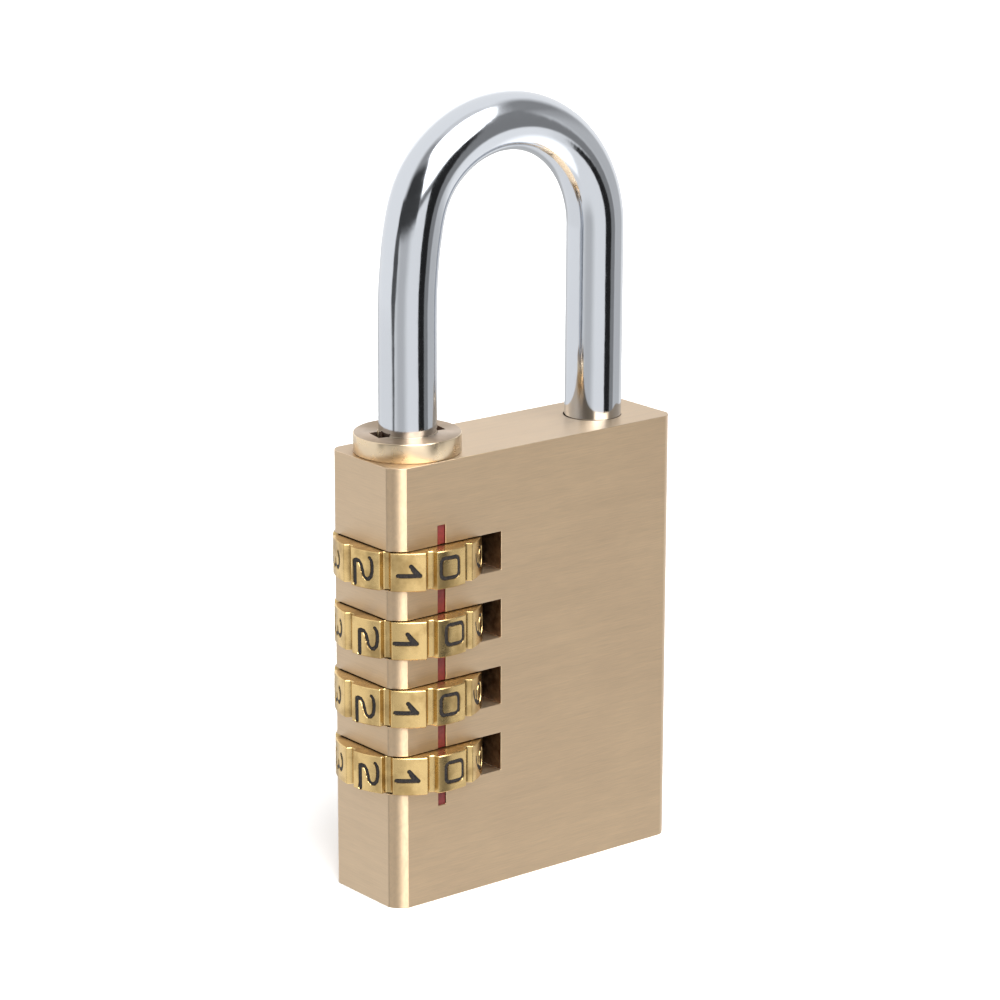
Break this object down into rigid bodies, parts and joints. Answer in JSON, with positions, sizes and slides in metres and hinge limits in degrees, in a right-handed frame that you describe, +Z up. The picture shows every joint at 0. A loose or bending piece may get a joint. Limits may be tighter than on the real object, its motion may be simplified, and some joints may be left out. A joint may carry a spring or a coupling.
{
  "type": "combination padlock",
  "caption": "Brass block padlock with edge-turned number dials on the left corner, a raised collar and a hardened round-bar shackle that lifts when the code lines up.",
  "frame": {"origin": "on the base face, under the middle of the box that body, dials and shackle fill", "axes": "+X along the front face from the dials to the toe of the shackle, +Y to the back through the thickness, +Z up along the shackle legs"},
  "size_m": [0.042, 0.0164, 0.0902],
  "materials": {
    "satin_brass": "fine horizontal brush lines on a flat milled and lacquered block, satin",
    "polished_brass": "bright turned and tumbled brass",
    "chrome": "mirror bright chrome plate on hardened steel",
    "spring_steel": "plain drawn and rolled spring steel",
    "red_enamel": "red filling lacquer in a milled groove, satin"
  },
  "bodies": {
    "lock": {"lock_body": "satin_brass", "collar": "polished_brass", "main_spring": "spring_steel", "index_enamel_1": "red_enamel", "index_enamel_2": "red_enamel", "index_enamel_3": "red_enamel", "index_enamel_4": "red_enamel", "index_enamel_5": "red_enamel", "click_spring_1": "spring_steel", "click_spring_2": "spring_steel", "click_spring_3": "spring_steel", "click_spring_4": "spring_steel"},
    "shackle": {"shackle": "chrome", "retaining_ring": "spring_steel"},
    "dial_1": {"dial_1": "polished_brass"},
    "dial_2": {"dial_2": "polished_brass"},
    "dial_3": {"dial_3": "polished_brass"},
    "dial_4": {"dial_4": "polished_brass"},
    "sleeve_1": {"code_sleeve_1": "satin_brass"},
    "sleeve_2": {"code_sleeve_2": "satin_brass"},
    "sleeve_3": {"code_sleeve_3": "satin_brass"},
    "sleeve_4": {"code_sleeve_4": "satin_brass"},
    "washer": {"thrust_washer": "spring_steel"}
  },
  "joints": [
    {"name": "shackle_lift", "type": "slide", "parent": "lock", "child": "shackle", "axis": [0, 0, 1], "range_m": [0, 0.00795]},
    {"name": "dial_1_turn", "type": "hinge", "parent": "lock", "child": "dial_1", "pos_m": [-0.01281, 0, 0.03975], "axis": [0, 0, 1], "continuous": true, "deforming": ["click_spring_1"]},
    {"name": "dial_2_turn", "type": "hinge", "parent": "lock", "child": "dial_2", "pos_m": [-0.01281, 0, 0.0318], "axis": [0, 0, 1], "continuous": true, "deforming": ["click_spring_2"]},
    {"name": "dial_3_turn", "type": "hinge", "parent": "lock", "child": "dial_3", "pos_m": [-0.01281, 0, 0.02385], "axis": [0, 0, 1], "continuous": true, "deforming": ["click_spring_3"]},
    {"name": "dial_4_turn", "type": "hinge", "parent": "lock", "child": "dial_4", "pos_m": [-0.01281, 0, 0.0159], "axis": [0, 0, 1], "continuous": true, "deforming": ["click_spring_4"]},
    {"name": "sleeve_1_drop", "type": "slide", "parent": "dial_1", "child": "sleeve_1", "axis": [0, 0, 1], "range_m": [-0.0017, 0]},
    {"name": "sleeve_2_drop", "type": "slide", "parent": "dial_2", "child": "sleeve_2", "axis": [0, 0, 1], "range_m": [-0.0017, 0]},
    {"name": "sleeve_3_drop", "type": "slide", "parent": "dial_3", "child": "sleeve_3", "axis": [0, 0, 1], "range_m": [-0.0017, 0]},
    {"name": "sleeve_4_drop", "type": "slide", "parent": "dial_4", "child": "sleeve_4", "axis": [0, 0, 1], "range_m": [-0.0017, 0], "stiffness_N_per_m": 800, "springref_m": 0.002, "deforming": ["main_spring"]},
    {"name": "washer_drop", "type": "slide", "parent": "lock", "child": "washer", "axis": [0, 0, 1], "range_m": [-0.0017, 0]}
  ],
  "couplings": [
    {"joint": "sleeve_1_drop", "follows": "sleeve_4_drop", "ratio": 1},
    {"joint": "sleeve_2_drop", "follows": "sleeve_4_drop", "ratio": 1},
    {"joint": "sleeve_3_drop", "follows": "sleeve_4_drop", "ratio": 1},
    {"joint": "washer_drop", "follows": "sleeve_4_drop", "ratio": 1}
  ]
}
